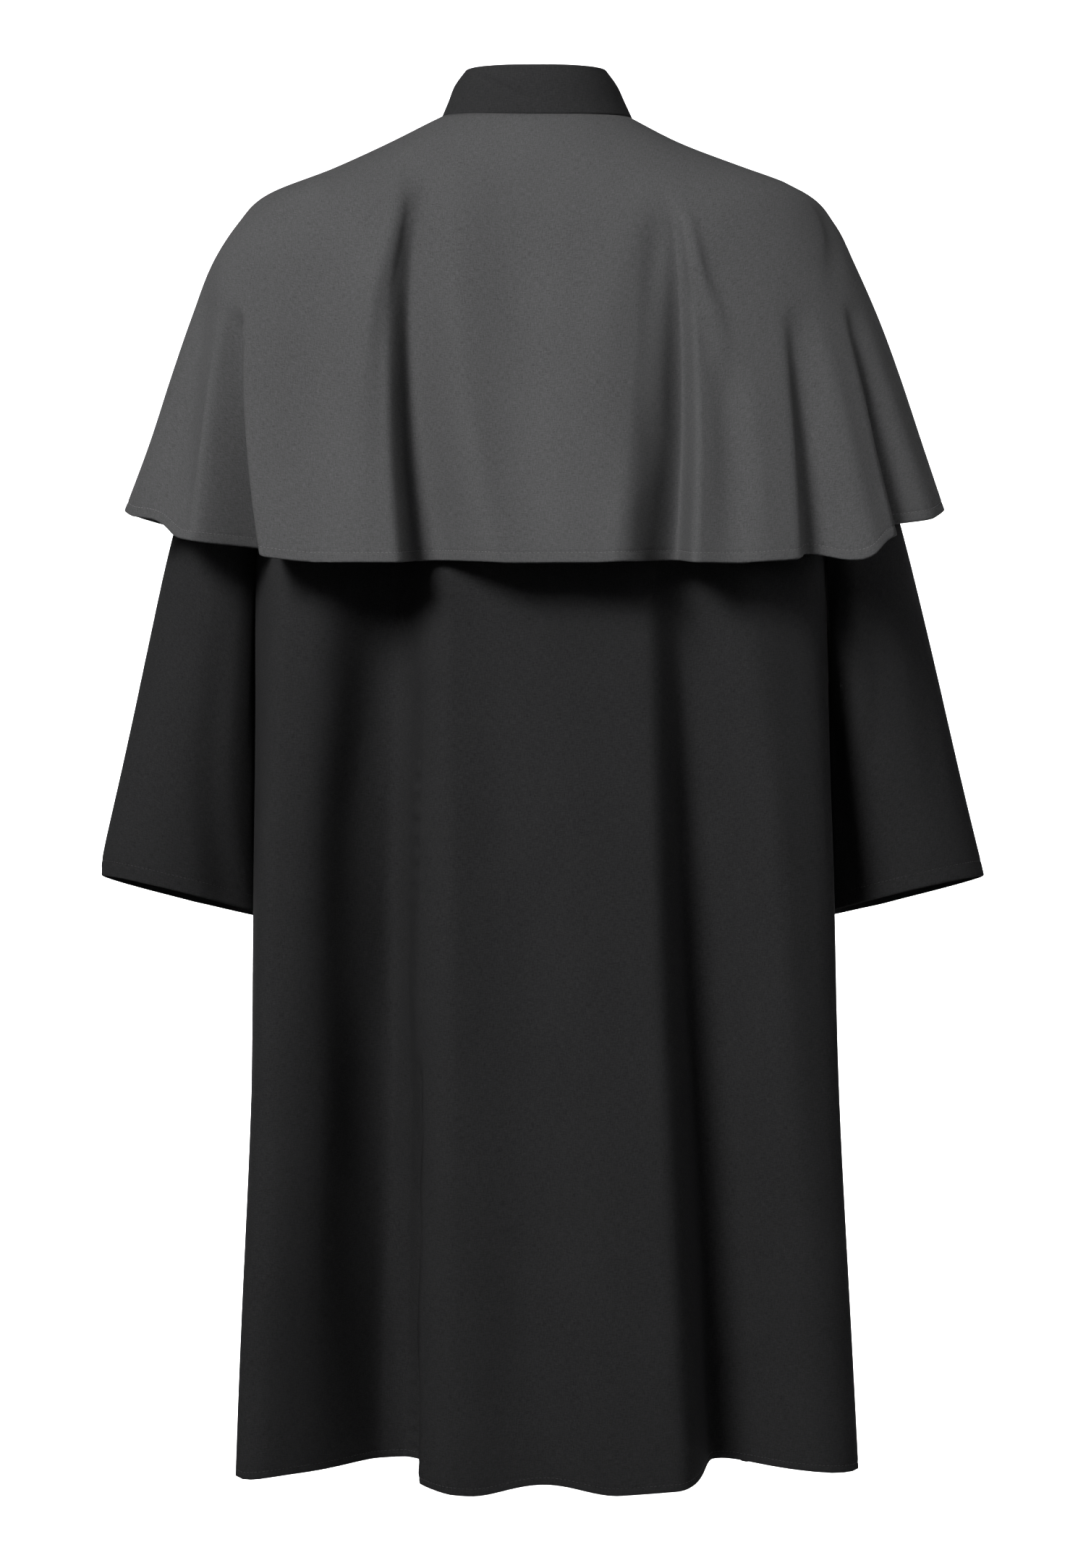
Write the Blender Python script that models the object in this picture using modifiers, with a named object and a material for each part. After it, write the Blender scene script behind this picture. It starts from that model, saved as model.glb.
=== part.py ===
# Stand-collar gown with a shoulder cape: hollow, in the shape of a garment that is worn.
# Metres, +Z up. The front faces -Y, and +X is the wearer's left. The origin is the
# centre of the neck opening, at the height of the collar seam at the centre back.
# A bearing is a direction seen from above, in degrees from the centre back:
# 90 is the wearer's left side, -90 the right side and 180 the centre front.

import math
from collections import namedtuple

import bpy
import numpy as np

# Cloth and seams
CLOTH_WALL = 0.002
COLLAR_WALL = 0.0025
SEAM_GAP = 0.0005
SEAM_STRIP = 1.2          # degrees of the narrow strip beside each seam, where the walls are parallel
FRONT_LAP = 0.020         # how far each front runs past the centre
LAP_STEP = 0.0036         # how far the right front lies inside the left one there
LAP_SLOPE = 0.030         # the width over which the right front steps in
COLLAR_OPENING = 0.003    # between the collar's two ends
CAPE_OPENING_NECK = 0.004
CAPE_OPENING_HEM = 0.036

# A ring is a level of the cloth: how far it reaches left and right of the middle, where
# its widest point, its back and its front lie, the height of each of those, and how soon
# it drops from its side to its back and to its front: 2 is round, more drops sooner.
# The last number is how square it is, seen from above: 2 is an ellipse, more is boxier.
Ring = namedtuple(
    "Ring", "name left right side_y back_y front_y side_z back_z front_z back_drop front_drop square")

GOWN_RINGS = (
    #    name               left   right  side_y  back_y front_y  side_z   back_z  front_z  drops    square
    Ring("neck seam",      0.0832, 0.0757, -0.004, 0.0645, -0.0795, 0.0032, -0.0016, -0.0570, 2.0, 2.0, 2.25),
    Ring("yoke",           0.1250, 0.1210, -0.002, 0.0840, -0.094, -0.0195, -0.0330, -0.0820, 2.0, 2.0, 2.25),
    Ring("shoulder",       0.1680, 0.1660, 0.001, 0.1010, -0.108, -0.0390, -0.0700, -0.1120, 2.0, 2.0, 2.25),
    Ring("shoulder point", 0.2080, 0.2050, 0.005, 0.1120, -0.118, -0.0575, -0.1080, -0.1450, 2.0, 2.0, 2.25),
    Ring("shoulder blade", 0.2150, 0.2140, 0.010, 0.1200, -0.127, -0.1450, -0.1740, -0.1960, 2.0, 2.0, 2.25),
    Ring("chest",          0.2270, 0.2260, 0.015, 0.1260, -0.134, -0.2250, -0.2400, -0.2520, 2.0, 2.0, 2.25),
    Ring("underarm",       0.2360, 0.2350, 0.018, 0.1300, -0.139, -0.2850, -0.2950, -0.3020, 2.0, 2.0, 2.25),
    Ring("below the cape", 0.2425, 0.2415, 0.020, 0.1350, -0.144, -0.3720, -0.3790, -0.3830, 2.0, 2.0, 2.7),
    Ring("waist",          0.2430, 0.2445, 0.020, 0.1420, -0.150, -0.5500, -0.5550, -0.5580, 2.0, 2.0, 3.2),
    Ring("hip",            0.2470, 0.2500, 0.020, 0.1530, -0.160, -0.8000, -0.8050, -0.8060, 2.0, 2.0, 3.2),
    Ring("hem",            0.2545, 0.2600, 0.020, 0.1740, -0.176, -1.1330, -1.1480, -1.1440, 2.0, 2.0, 3.2),
)
SHOULDER_POINT = 3
UNDERARM = 6

CAPE_RINGS = (
    #    name               left   right  side_y  back_y front_y  side_z   back_z  front_z  drops    square
    Ring("neck seam",      0.0865, 0.0790, -0.004, 0.0680, -0.083, 0.0050, 0.0000, -0.0540, 2.0, 2.0, 2.25),
    Ring("yoke",           0.1280, 0.1190, -0.002, 0.0890, -0.100, -0.0160, -0.0270, -0.0760, 2.0, 2.0, 2.25),
    Ring("shoulder",       0.1780, 0.1710, 0.000, 0.1060, -0.116, -0.0375, -0.0600, -0.1050, 2.0, 2.0, 2.25),
    Ring("shoulder point", 0.2350, 0.2290, 0.002, 0.1210, -0.130, -0.0610, -0.0960, -0.1350, 2.0, 2.0, 2.25),
    Ring("over the arm",   0.2600, 0.2520, 0.002, 0.1340, -0.141, -0.0860, -0.1330, -0.1660, 2.5, 2.0, 2.25),
    Ring("upper arm",      0.2820, 0.2690, 0.002, 0.1470, -0.152, -0.1210, -0.1760, -0.2040, 3.5, 2.2, 2.25),
    Ring("arm",            0.2990, 0.2880, 0.002, 0.1590, -0.163, -0.1660, -0.2240, -0.2480, 5.0, 2.4, 2.25),
    Ring("lower arm",      0.3160, 0.3060, 0.002, 0.1710, -0.174, -0.2160, -0.2760, -0.2970, 7.0, 2.6, 2.25),
    Ring("above the hem",  0.3340, 0.3240, 0.002, 0.1820, -0.184, -0.2700, -0.3290, -0.3470, 9.0, 2.8, 2.25),
    Ring("hem",            0.3570, 0.3440, 0.002, 0.1930, -0.194, -0.3300, -0.3830, -0.3980, 11.0, 3.0, 2.25),
)

COLLAR_RINGS = (
    #    name               left   right  side_y  back_y front_y  side_z   back_z  front_z  drops    square
    Ring("base",           0.0861, 0.0786, -0.004, 0.0676, -0.0826, 0.0052, 0.0003, -0.0529, 2.0, 2.0, 2.25),
    Ring("lower",          0.0800, 0.0720, -0.004, 0.0655, -0.079, 0.0195, 0.0146, -0.0390, 2.0, 2.0, 2.25),
    Ring("upper",          0.0745, 0.0655, -0.004, 0.0640, -0.076, 0.0335, 0.0287, -0.0255, 2.0, 2.0, 2.25),
    Ring("top",            0.0655, 0.0565, -0.004, 0.0615, -0.071, 0.0460, 0.0427, -0.0125, 2.0, 2.0, 2.25),
)

# A fold is a trough that runs down to the hem: its bearing where it starts and at the hem,
# the height where it starts, and at the hem how deep it is, how far its floor leans
# towards higher bearings, how far it reaches on each side, and how far it lifts the hem.
Fold = namedtuple("Fold", "name top hem start depth lean low_side high_side lift")

GOWN_FOLDS = (
    #    name                    top     hem   start   depth    lean  low_side, high_side, lift
    Fold("back left",           52.0,   46.5, -0.040,  0.106,  0.000, 0.064, 0.084,  0.008),
    Fold("back left lip",       38.0,   37.5, -0.780,  0.018, -0.026, 0.012, 0.045,  0.004),
    Fold("back left panel",     72.0,   72.0, -0.140, -0.016, -0.025, 0.050, 0.035, -0.004),
    Fold("back middle",         -2.0,   -1.0, -0.550,  0.009,  0.000, 0.065, 0.065,  0.010),
    Fold("back right",         -47.0,  -51.2, -0.260,  0.080,  0.004, 0.084, 0.048,  0.010),
    Fold("back right panel",   -74.0,  -74.0, -0.200, -0.012,  0.000, 0.040, 0.045, -0.002),
    Fold("side left",           88.0,   84.0, -0.500,  0.006,  0.000, 0.050, 0.050,  0.000),
    Fold("front left side",    124.0,  122.0, -0.260,  0.028,  0.010, 0.070, 0.028,  0.016),
    Fold("front left",         152.0,  150.0, -0.340,  0.020, -0.008, 0.026, 0.060,  0.012),
    Fold("front right side",  -120.0, -119.0, -0.280,  0.030, -0.010, 0.028, 0.074,  0.018),
    Fold("front right",       -150.0, -146.0, -0.360,  0.018,  0.006, 0.060, 0.030,  0.010),
)

CAPE_FOLDS = (
    #    name                    top     hem   start   depth    lean  low_side, high_side, lift
    Fold("left side",           82.0,   76.0, -0.120,  0.010,  0.000, 0.036, 0.036,  0.003),
    Fold("left back",           72.0,   60.3, -0.150,  0.062, -0.004, 0.021, 0.042,  0.003),
    Fold("left deep",           43.0,   25.6, -0.036,  0.050,  0.010, 0.058, 0.029,  0.004),
    Fold("middle",               2.0,    2.0, -0.060,  0.004,  0.000, 0.060, 0.060,  0.000),
    Fold("right deep",         -43.5,  -30.0, -0.050,  0.046, -0.010, 0.020, 0.050,  0.004),
    Fold("right panel",        -47.0,  -41.0, -0.100,  0.007,  0.000, 0.034, 0.034,  0.000),
    Fold("right back",         -62.5,  -58.0, -0.140,  0.026,  0.004, 0.044, 0.024,  0.002),
    Fold("right side edge",    -66.0,  -63.5, -0.150, -0.006,  0.000, 0.030, 0.030, -0.011),
    Fold("right side",         -74.0,  -72.5, -0.150,  0.028,  0.010, 0.038, 0.016,  0.002),
    Fold("front left side",    104.0,  112.0, -0.080,  0.022,  0.009, 0.048, 0.018,  0.003),
    Fold("front left",         138.0,  149.0, -0.070,  0.030, -0.011, 0.020, 0.070,  0.004),
    Fold("front right side",  -103.0, -109.0, -0.080,  0.020, -0.009, 0.018, 0.048,  0.003),
    Fold("front right",       -136.0, -147.0, -0.070,  0.028,  0.011, 0.066, 0.020,  0.004),
)
FOLD_EASE = 0.15          # how gently a fold sets in
FOLD_GROWTH = 1.5         # how its depth grows down the cloth
FOLD_TOP_WIDTH = 0.50     # its width where it starts, as a share of that at the hem
FOLD_GATHER = 250         # how strongly a fold's size draws the columns closer together
GATHER_REACH = 16.0       # degrees on each side over which it does

# A sleeve ring reaches from its outer end, on the left and right sleeve, to its inner end
# at the body, with half its depth from front to back and the turn of its inner end forward.
SleeveRing = namedtuple("SleeveRing", "name left_x right_x out_z in_x in_z mid_y half_depth turn")

SLEEVE_RINGS = (
    #          name         left_x  right_x  out_z    in_x    in_z    mid_y  half_depth turn
    SleeveRing("head",      0.2255, 0.2220, -0.0680, 0.2400, -0.2865, 0.012, 0.0730, 0.0),
    SleeveRing("cap",       0.2400, 0.2365, -0.0860, 0.2430, -0.2910, 0.008, 0.0720, 2.0),
    SleeveRing("upper arm", 0.2545, 0.2500, -0.1200, 0.2460, -0.3010, 0.003, 0.0690, 5.0),
    SleeveRing("arm",       0.2700, 0.2650, -0.1800, 0.2430, -0.3260, -0.001, 0.0685, 8.0),
    SleeveRing("above elbow", 0.2890, 0.2830, -0.2550, 0.2400, -0.3720, -0.006, 0.0700, 12.0),
    SleeveRing("elbow",     0.3195, 0.3135, -0.3650, 0.2370, -0.4480, -0.012, 0.0710, 15.0),
    SleeveRing("forearm",   0.3515, 0.3490, -0.5060, 0.2350, -0.5600, -0.024, 0.0660, 18.0),
    SleeveRing("hem seam",  0.3785, 0.3775, -0.6150, 0.2330, -0.6600, -0.033, 0.0620, 20.0),
    SleeveRing("cuff",      0.3818, 0.3842, -0.6420, 0.2320, -0.6800, -0.035, 0.0615, 20.0),
)
ARMHOLE_HALF = 21.0       # degrees of the body's ring that the armhole takes on each side
ARMHOLE_ROWS = 10         # rows of the panels, and half the columns of the sleeve, at the armhole
ARMHOLE_GAP = 0.0006      # from a panel's edge to the sleeve's end, along X
SLEEVE_CLEARANCE = 0.0020 # from the sleeve to the side of the body

# Rows between one ring and the next, and columns across each piece
GOWN_YOKE_ROWS = (1, 1, 1)
GOWN_SKIRT_ROWS = (1, 2, 3, 4)
CAPE_ROWS = (1, 1, 1, 1, 1, 1, 2, 2, 2)
COLLAR_ROWS = (1, 1, 1)
SLEEVE_ROWS = (1, 1, 1, 1, 1, 1, 2, 2, 1)
BACK_COLUMNS = 44
FRONT_COLUMNS = 14
CAPE_COLUMNS = 96
COLLAR_COLUMNS = 24

# Colours as linear RGB
GOWN_BLACK = (0.0220, 0.0220, 0.0226)
COLLAR_BLACK = (0.0256, 0.0256, 0.0262)
CAPE_GREY = (0.0900, 0.0900, 0.0912)


def smooth_between(table, station):
    """The table's rows as one smooth run, read at each station, which counts rows."""
    table = np.asarray(table, float)
    last = len(table) - 1
    row = np.clip(np.floor(station).astype(int), 0, last - 1)
    step = (station - row).reshape((-1,) + (1,) * (table.ndim - 1))
    ahead = 2 * table[-1] - table[-2]
    behind = 2 * table[0] - table[1]
    run = np.concatenate([behind[None], table, ahead[None]])
    before, start, end, after = run[row], run[row + 1], run[row + 2], run[row + 3]
    return start + 0.5 * step * (
        end - before
        + step * (2 * before - 5 * start + 4 * end - after
                  + step * (3 * (start - end) + after - before)))


def stations(rows_between, first=0):
    """Ring numbers, with the given number of even rows between one ring and the next."""
    runs = [first + ring + np.arange(rows) / rows for ring, rows in enumerate(rows_between)]
    return np.concatenate(runs + [np.array([first + len(rows_between)], float)])


def trough(offset, low_side, high_side):
    """1 on a trough's floor and 0 where it ends, with a reach of its own on each side."""
    reach = np.where(offset < 0, low_side, high_side)
    return 0.5 + 0.5 * np.cos(math.pi * np.clip(offset / reach, -1, 1))


def fallen_share(fold, rings, height):
    """How far down this height is on the fold's way to the hem, from 0 to 1."""
    return np.clip((fold.start - height) / (fold.start - rings[-1].side_z), 0, 1)


def worn_cloth(rings, folds, station, bearing):
    """Points of the cloth's outer face: a row for each station, a column for each bearing."""
    columns = smooth_between([ring[1:] for ring in rings], station).T[:, :, None]
    left, right, side_y, back_y, front_y, side_z, back_z, front_z, back_drop, front_drop, square = columns
    sine, cosine = np.sin(bearing), np.cos(bearing)
    half_width = np.where(sine > 0, left, right)
    half_depth = np.where(cosine > 0, back_y - side_y, side_y - front_y)
    radius = ((np.abs(sine) / half_width) ** square
              + (np.abs(cosine) / half_depth) ** square) ** (-1 / square)
    x, y = radius * sine, radius * cosine
    drop = np.where(cosine > 0, back_drop, front_drop)
    z = side_z + (np.where(cosine > 0, back_z, front_z) - side_z) * (1 - np.abs(sine) ** drop)

    out_x = np.sign(x) * np.abs(x / half_width) ** (square - 1) / half_width
    out_y = np.sign(y) * np.abs(y / half_depth) ** (square - 1) / half_depth
    out_length = np.hypot(out_x, out_y)
    out_x, out_y = out_x / out_length, out_y / out_length

    for fold in folds:
        fallen = fallen_share(fold, rings, side_z)
        grown = fallen ** FOLD_GROWTH * (1 + FOLD_EASE) / (fallen + FOLD_EASE)
        width = FOLD_TOP_WIDTH + (1 - FOLD_TOP_WIDTH) * fallen
        middle = np.radians(fold.top + (fold.hem - fold.top) * fallen)
        share = grown * trough((bearing - middle) * radius, fold.low_side * width, fold.high_side * width)
        x = x - share * (fold.depth * out_x - fold.lean * out_y)
        y = y - share * (fold.depth * out_y + fold.lean * out_x)
        z = z + share * fold.lift
    return np.stack([x, y + side_y, z], axis=-1)


def gathered_columns(count, folds, low, high, strip=0):
    """Bearings at the hem, in degrees, from one edge to the other and closer at the folds.

    With a strip, which is in degrees too, the first and last columns are that narrow.
    """
    bearing = np.linspace(low + strip, high - strip, 400)
    density = np.ones_like(bearing)
    for fold in folds:
        pull = FOLD_GATHER * (fold.low_side + fold.high_side) * fold.depth
        density += pull * trough(bearing - fold.hem, GATHER_REACH, GATHER_REACH)
    run = np.concatenate([[0], np.cumsum((density[1:] + density[:-1]) / 2)])
    inner = np.interp(np.linspace(0, run[-1], count - 1 if strip else count + 1), run, bearing)
    return np.concatenate([[low], inner, [high]]) if strip else inner


def spread(bearing, low, high, low_edge, high_edge):
    """The bearings between low and high, in degrees, fitted between a piece's two edges."""
    return low_edge + (high_edge - low_edge) * (bearing - low) / (high - low)


def along_folds(bearing, folds, low, high, rings, station):
    """The bearings at the hem, in degrees, moved at each station as the folds there have moved."""
    folds = sorted((fold for fold in folds if low < fold.hem < high), key=lambda fold: fold.hem)
    at_hem = [low, *(fold.hem for fold in folds), high]
    moved = []
    for height in ring_column(rings, station, "side_z")[:, 0]:
        here = [fold.top + (fold.hem - fold.top) * fallen_share(fold, rings, height) for fold in folds]
        moved.append(np.interp(bearing, at_hem, [low, *here, high]))
    return np.array(moved)


def armhole_half(station):
    """How far the armhole's edge lies from the side of the body, as an angle in radians."""
    along = np.clip((station - SHOULDER_POINT) / (UNDERARM - SHOULDER_POINT), 0, 1)
    return math.radians(ARMHOLE_HALF) * np.sqrt(np.clip(1 - (1 - 2 * along) ** 2, 0, 1))


def armhole_stations():
    turn = np.linspace(0, math.pi, ARMHOLE_ROWS + 1)
    return SHOULDER_POINT + (UNDERARM - SHOULDER_POINT) * (1 - np.cos(turn)) / 2


def gown_stations():
    yoke = stations(GOWN_YOKE_ROWS)[:-1]
    skirt = stations(GOWN_SKIRT_ROWS, first=UNDERARM)[1:]
    return np.concatenate([yoke, armhole_stations(), skirt])


def ring_column(rings, station, column):
    """One named column of the rings, at each station."""
    return smooth_between([[getattr(ring, column)] for ring in rings], station)


def cloth_object(name, points, wall, material, closed=False):
    """One piece: the grid's faces, given the cloth's wall on their inner side."""
    rows, columns = points.shape[:2]
    mesh = bpy.data.meshes.new(name)
    faces = []
    for row in range(rows - 1):
        for column in range(columns if closed else columns - 1):
            beside = (column + 1) % columns
            above, below = row * columns, (row + 1) * columns
            faces.append((above + column, above + beside, below + beside, below + column))
    mesh.from_pydata(points.reshape(-1, 3).tolist(), [], faces)
    mesh.shade_smooth()
    mesh.materials.append(material)
    piece = bpy.data.objects.new(name, mesh)
    garment.objects.link(piece)
    solid = piece.modifiers.new("cloth wall", "SOLIDIFY")
    solid.thickness = wall
    solid.offset = -1
    solid.thickness_clamp = 0
    return piece


def cloth_material(name, colour, roughness):
    material = bpy.data.materials.new(name)
    material.use_nodes = True
    shader = material.node_tree.nodes["Principled BSDF"]
    shader.inputs["Base Color"].default_value = (*colour, 1)
    shader.inputs["Roughness"].default_value = roughness
    shader.inputs["Metallic"].default_value = 0
    return material


def build_back(material):
    """One panel from side seam to side seam, which also ends at the shoulders and armholes."""
    station = gown_stations()
    seam = SEAM_GAP / 2 / ring_column(GOWN_RINGS, station, "left")[:, 0]
    edge = (math.pi / 2 - seam - armhole_half(station))[:, None]
    columns = gathered_columns(BACK_COLUMNS, GOWN_FOLDS, -90, 90, strip=SEAM_STRIP)
    bearing = spread(along_folds(columns, GOWN_FOLDS, -90, 90, GOWN_RINGS, station), -90, 90, -edge, edge)
    cloth_object("back", worn_cloth(GOWN_RINGS, GOWN_FOLDS, station, bearing), CLOTH_WALL, material)


def build_front(name, side, material):
    """A front from its side seam to just past the centre; the left one lies on the right one."""
    station = gown_stations()
    half_width = ring_column(GOWN_RINGS, station, "left" if side > 0 else "right")[:, 0]
    depth = -ring_column(GOWN_RINGS, station, "front_y")[:, 0]
    seam_edge = math.pi / 2 + SEAM_GAP / 2 / half_width + armhole_half(station)
    centre_edge = math.pi + FRONT_LAP / depth
    low, high = (90, 180) if side > 0 else (-180, -90)
    columns = gathered_columns(FRONT_COLUMNS, GOWN_FOLDS, low, high, strip=SEAM_STRIP)
    turned = side * along_folds(columns, GOWN_FOLDS, low, high, GOWN_RINGS, station)
    bearing = spread(turned, 90, 180, seam_edge[:, None], centre_edge[:, None])
    points = worn_cloth(GOWN_RINGS, GOWN_FOLDS, station, side * bearing)
    if side < 0:
        to_centre = (math.pi - bearing) * depth[:, None] - FRONT_LAP
        step_in = 0.5 + 0.5 * np.cos(math.pi * np.clip(to_centre / LAP_SLOPE, 0, 1))
        points[:, :, 1] += LAP_STEP * step_in
    cloth_object(name, points, CLOTH_WALL, material)


def build_cape(material):
    """One flared piece from the neck seam over the shoulders, open at the centre front."""
    station = stations(CAPE_ROWS)
    depth = -ring_column(CAPE_RINGS, station, "front_y")[:, 0]
    along = station / station[-1]
    opening = CAPE_OPENING_NECK + (CAPE_OPENING_HEM - CAPE_OPENING_NECK) * along
    edge = (math.pi - opening / 2 / depth)[:, None]
    columns = gathered_columns(CAPE_COLUMNS, CAPE_FOLDS, -180, 180)
    turned = along_folds(columns, CAPE_FOLDS, -180, 180, CAPE_RINGS, station)
    bearing = spread(turned, -180, 180, -edge, edge)
    cloth_object("cape", worn_cloth(CAPE_RINGS, CAPE_FOLDS, station, bearing), CLOTH_WALL, material)


def build_collar(material):
    """A standing band whose ends meet at the centre front."""
    station = stations(COLLAR_ROWS)
    depth = -ring_column(COLLAR_RINGS, station, "front_y")[:, 0]
    edge = (math.pi - COLLAR_OPENING / 2 / depth)[:, None]
    bearing = edge - 2 * edge * np.linspace(0, 1, COLLAR_COLUMNS + 1)
    cloth_object("collar", worn_cloth(COLLAR_RINGS, (), station, bearing), COLLAR_WALL, material)


def armhole_edge(side, turn):
    """The panels' armhole edge, from the shoulder point round the back, as sleeve columns."""
    station = SHOULDER_POINT + (UNDERARM - SHOULDER_POINT) * (1 - np.cos(turn)) / 2
    bearing = side * (math.pi / 2 - math.radians(ARMHOLE_HALF) * np.sin(turn))
    points = [worn_cloth(GOWN_RINGS, GOWN_FOLDS, np.array([level]), np.array([[angle]]))[0, 0]
              for level, angle in zip(station, bearing)]
    return np.array(points) + np.array([side * ARMHOLE_GAP, 0, 0])


def body_side(y, z, side):
    """How far the body reaches sideways at this depth and height."""
    column = "left" if side > 0 else "right"
    heights = [-ring.side_z for ring in GOWN_RINGS]
    reach = np.interp(-z, heights, [getattr(ring, column) for ring in GOWN_RINGS])
    middle = np.interp(-z, heights, [ring.side_y for ring in GOWN_RINGS])
    back = np.interp(-z, heights, [ring.back_y for ring in GOWN_RINGS])
    front = np.interp(-z, heights, [ring.front_y for ring in GOWN_RINGS])
    square = np.interp(-z, heights, [ring.square for ring in GOWN_RINGS])
    half_depth = np.where(y > middle, back - middle, middle - front)
    return reach * (1 - np.clip(np.abs(y - middle) / half_depth, 0, 1) ** square) ** (1 / square)


def build_sleeve(name, side, material):
    """A set-in sleeve: its first ring is the armhole, and it hangs just clear of the body."""
    turn = np.arange(2 * ARMHOLE_ROWS) * math.pi / ARMHOLE_ROWS
    rings = [armhole_edge(side, turn)]
    for ring in SLEEVE_RINGS:
        out = np.array([ring.left_x if side > 0 else ring.right_x, ring.mid_y, ring.out_z])
        inner = np.array([ring.in_x, ring.mid_y, ring.in_z])
        middle, across = (out + inner) / 2, (out - inner) / 2
        twist = math.radians(ring.turn)
        forward = np.array([0, np.linalg.norm(across), 0])
        depth = np.array([-math.sin(twist), math.cos(twist), 0]) * ring.half_depth
        across = across * [math.cos(twist), 1, 1] + forward * math.sin(twist)
        points = middle + np.cos(turn)[:, None] * across + np.sin(turn)[:, None] * depth
        least = body_side(points[:, 1], points[:, 2], side) + SLEEVE_CLEARANCE
        points[:, 0] = side * np.maximum(points[:, 0], least)
        rings.append(points)
    points = smooth_between(np.array(rings), stations(SLEEVE_ROWS))
    if side > 0:
        points = points[:, ::-1]
    cloth_object(name, points, CLOTH_WALL, material, closed=True)


for old in list(bpy.data.objects):
    bpy.data.objects.remove(old)

garment = bpy.data.collections.new("stand_collar_gown")
bpy.context.scene.collection.children.link(garment)

gown_cloth = cloth_material("gown cloth", GOWN_BLACK, 0.85)
collar_cloth = cloth_material("collar cloth", COLLAR_BLACK, 0.85)
cape_cloth = cloth_material("cape cloth", CAPE_GREY, 0.80)

build_back(gown_cloth)
build_front("front_left", 1, gown_cloth)
build_front("front_right", -1, gown_cloth)
build_sleeve("sleeve_left", 1, gown_cloth)
build_sleeve("sleeve_right", -1, gown_cloth)
build_collar(collar_cloth)
build_cape(cape_cloth)
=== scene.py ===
# Stand-collar gown with a shoulder cape: its cloth, folds, creases, hems and stitches.
# Metres, +Z up. The front of the garment faces -Y and +X is the wearer's left.
# A bearing is a direction seen from above, in degrees from the centre back: 90 is the
# wearer's left side, -90 the right side and 180 the centre front.

import math
from collections import namedtuple

import bpy
import numpy as np
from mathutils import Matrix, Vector


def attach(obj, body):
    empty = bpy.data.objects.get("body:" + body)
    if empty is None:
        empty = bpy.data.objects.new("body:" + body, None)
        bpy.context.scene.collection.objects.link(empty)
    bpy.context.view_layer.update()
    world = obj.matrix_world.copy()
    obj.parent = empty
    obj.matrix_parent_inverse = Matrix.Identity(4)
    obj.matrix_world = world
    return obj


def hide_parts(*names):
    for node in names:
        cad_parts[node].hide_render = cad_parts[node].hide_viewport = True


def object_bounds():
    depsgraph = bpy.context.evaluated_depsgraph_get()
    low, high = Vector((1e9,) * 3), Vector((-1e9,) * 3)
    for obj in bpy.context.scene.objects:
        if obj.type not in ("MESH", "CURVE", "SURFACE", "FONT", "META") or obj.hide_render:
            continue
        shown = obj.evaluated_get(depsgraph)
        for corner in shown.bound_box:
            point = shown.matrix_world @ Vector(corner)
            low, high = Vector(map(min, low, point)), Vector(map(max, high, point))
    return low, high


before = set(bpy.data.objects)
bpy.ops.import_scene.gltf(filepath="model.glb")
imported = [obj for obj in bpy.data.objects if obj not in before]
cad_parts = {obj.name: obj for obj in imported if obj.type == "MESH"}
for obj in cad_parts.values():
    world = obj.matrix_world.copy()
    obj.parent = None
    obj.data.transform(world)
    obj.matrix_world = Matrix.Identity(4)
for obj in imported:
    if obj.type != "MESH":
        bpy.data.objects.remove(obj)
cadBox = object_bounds()
print("frame:", len(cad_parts), "nodes")


# Camera, floor and light

photoView = dict(
    distance=3.73,            # from the camera to the middle plane of the garment
    aside=-0.0037,
    eyeHeight=-0.564,
    metresHigh=2168 * 0.00062,  # how much of that plane the photo shows
    filmHeight=36.0,
)
studio = dict(
    floorDrop=0.30,           # the floor lies this far below the hem
    floorReach=5.0,           # from the middle to where the floor curves up into the wall
    curve=1.2,                # the radius of that curve
    curveRows=17,
    wallHeight=5.0,
    hub=0.02,                 # the radius of the one flat face in the middle
    columns=96,
    paint=(0.62, 0.62, 0.62),
    roughness=0.9,
    skyStrength=0.045,
)
# Each lamp: where it stands, what it points at, its width, its power and how wide its
# light spreads, in degrees
lamps = {
    "key": dict(place=(2.25, 3.5, 2.2), target=(0.0, 0.0, -0.16), width=2.2, watts=18.6, spread=31),
    "right edge": dict(
        place=(-3.7, 1.3, 0.9), target=(0.0, 0.0, -0.35), width=1.5, watts=2.2, spread=50),
    "back wash": dict(
        place=(0.0, -3.0, 3.4), target=(0.0, -4.6, -1.0), width=3.0, watts=560, spread=95),
}

def newObject(name, data):
    thing = bpy.data.objects.new(name, data)
    bpy.context.scene.collection.objects.link(thing)
    return thing

def pointAt(thing, target):
    thing.rotation_euler = (Vector(target) - thing.location).to_track_quat("-Z", "Y").to_euler()

def buildCamera():
    lens = bpy.data.cameras.new("camera")
    lens.sensor_fit = "VERTICAL"
    lens.sensor_height = photoView["filmHeight"]
    lens.lens = photoView["filmHeight"] * photoView["distance"] / photoView["metresHigh"]
    camera = newObject("camera", lens)
    camera.location = (photoView["aside"], photoView["distance"], photoView["eyeHeight"])
    camera.rotation_euler = (math.pi / 2, 0, math.pi)
    bpy.context.scene.camera = camera

def buildLamps():
    for name, lamp in lamps.items():
        light = bpy.data.lights.new(name, "AREA")
        light.size = lamp["width"]
        light.energy = lamp["watts"]
        light.spread = math.radians(lamp["spread"])
        holder = newObject(name, light)
        holder.location = lamp["place"]
        pointAt(holder, lamp["target"])


# Nodes: one method adds any node, and a small class adds Math nodes from plain expressions

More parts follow.
